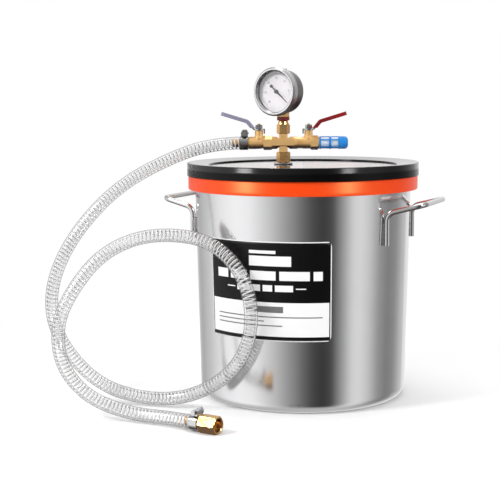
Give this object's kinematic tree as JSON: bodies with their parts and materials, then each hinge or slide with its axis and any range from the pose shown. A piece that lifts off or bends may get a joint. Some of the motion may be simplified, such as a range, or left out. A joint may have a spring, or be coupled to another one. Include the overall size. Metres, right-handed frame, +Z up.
{
  "type": "vacuum chamber",
  "caption": "Drawn steel vacuum pot with a soft rim gasket, clear lid, brass manifold with gauge and ball valves, vent muffler and a looped clear hose.",
  "frame": {"origin": "middle of the pot's flat base, on the surface it stands on", "axes": "+Z up along the pot's axis, +X and -X to the two handles, -Y to the label's side"},
  "size_m": [0.4339, 0.3605, 0.3796],
  "materials": {
    "pot_steel": "satin drawn stainless steel",
    "rod_steel": "polished stainless rod",
    "orange_silicone": "glossy moulded silicone",
    "black_ring": "glossy black moulding",
    "lid_glass": "clear tempered glass",
    "seal_rubber": "matt black rubber",
    "washer_steel": "turned steel",
    "nut_brass": "machined brass hexagon",
    "fitting_brass": "tumbled brass",
    "stem_brass": "turned brass",
    "red_sealant": "dark red thread seal ring",
    "case_steel": "polished stainless case",
    "bezel_steel": "polished stainless ring",
    "window_clear": "clear flat window",
    "dial_white": "matt white dial with plain marks",
    "pointer_black": "matt black",
    "bourdon_bronze": "bronze tube",
    "ball_chrome": "plated ball",
    "seat_white": "white fluoropolymer",
    "lever_steel": "plated steel",
    "sleeve_violet": "dipped violet-blue vinyl",
    "sleeve_red": "dipped red vinyl",
    "muffler_blue": "translucent blue moulding",
    "element_white": "sintered white element",
    "hose_clear": "clear hose with a steel spiral",
    "label_print": "printed vinyl sticker with plain bars, made in the looks",
    "clamp_steel": "bright steel strip and screw"
  },
  "bodies": {
    "chamber": {"chamber_pot": "pot_steel", "left_handle": "rod_steel", "right_handle": "rod_steel", "rim_gasket": "orange_silicone", "lid_edge_ring": "black_ring", "lid_glass": "lid_glass", "upper_lid_seal": "seal_rubber", "upper_lid_washer": "washer_steel", "lower_lid_seal": "seal_rubber", "lower_lid_washer": "washer_steel", "lid_lock_nut": "nut_brass", "riser_nipple": "nut_brass", "cross_fitting": "fitting_brass", "gauge_adapter": "nut_brass", "thread_seal_band": "red_sealant", "gauge_socket": "fitting_brass", "gauge_case": "case_steel", "gauge_bezel": "bezel_steel", "gauge_window": "window_clear", "gauge_dial": "dial_white", "gauge_fill_plug": "seal_rubber", "bourdon_tube": "bourdon_bronze", "gauge_movement": "fitting_brass", "left_valve_body": "fitting_brass", "left_inner_seat": "seat_white", "left_outer_seat": "seat_white", "left_seat_retainer": "fitting_brass", "left_stem_packing": "seat_white", "right_valve_body": "fitting_brass", "right_inner_seat": "seat_white", "right_outer_seat": "seat_white", "right_seat_retainer": "fitting_brass", "right_stem_packing": "seat_white", "muffler_base": "fitting_brass", "muffler_cage": "muffler_blue", "muffler_element": "element_white", "hose_barb": "fitting_brass", "start_clamp_band": "clamp_steel", "start_clamp_screw": "clamp_steel", "vacuum_hose": "hose_clear", "end_clamp_band": "clamp_steel", "end_clamp_screw": "clamp_steel", "end_barb": "fitting_brass"},
    "left_lever": {"left_valve_lever": "lever_steel", "left_lever_sleeve": "sleeve_violet", "left_handle_nut": "lever_steel", "left_valve_stem": "stem_brass", "left_valve_ball": "ball_chrome"},
    "right_lever": {"right_valve_lever": "lever_steel", "right_lever_sleeve": "sleeve_red", "right_handle_nut": "lever_steel", "right_valve_stem": "stem_brass", "right_valve_ball": "ball_chrome"},
    "pointer": {"gauge_pointer": "pointer_black"},
    "swivel": {"flare_nut": "nut_brass"}
  },
  "joints": [
    {"name": "left_lever_turn", "type": "hinge", "parent": "chamber", "child": "left_lever", "pos_m": [-0.05495, 0.00128, 0.2917], "axis": [0, 0, 1], "range_deg": [-90, 0]},
    {"name": "right_lever_turn", "type": "hinge", "parent": "chamber", "child": "right_lever", "pos_m": [-0.00017, 0.02122, 0.2917], "axis": [0, 0, 1], "range_deg": [-90, 0]},
    {"name": "pointer_turn", "type": "hinge", "parent": "chamber", "child": "pointer", "pos_m": [-0.02808, 0.01106, 0.3514], "axis": [-0.1908, -0.9816, 0], "range_deg": [0, 270], "stiffness_Nm_per_rad": 0.0002, "springref_deg": -17.19},
    {"name": "flare_nut_swivel", "type": "hinge", "parent": "chamber", "child": "swivel", "pos_m": [-0.02369, -0.21467, 0.009], "axis": [0.9848, -0.1736, 0], "continuous": true}
  ]
}
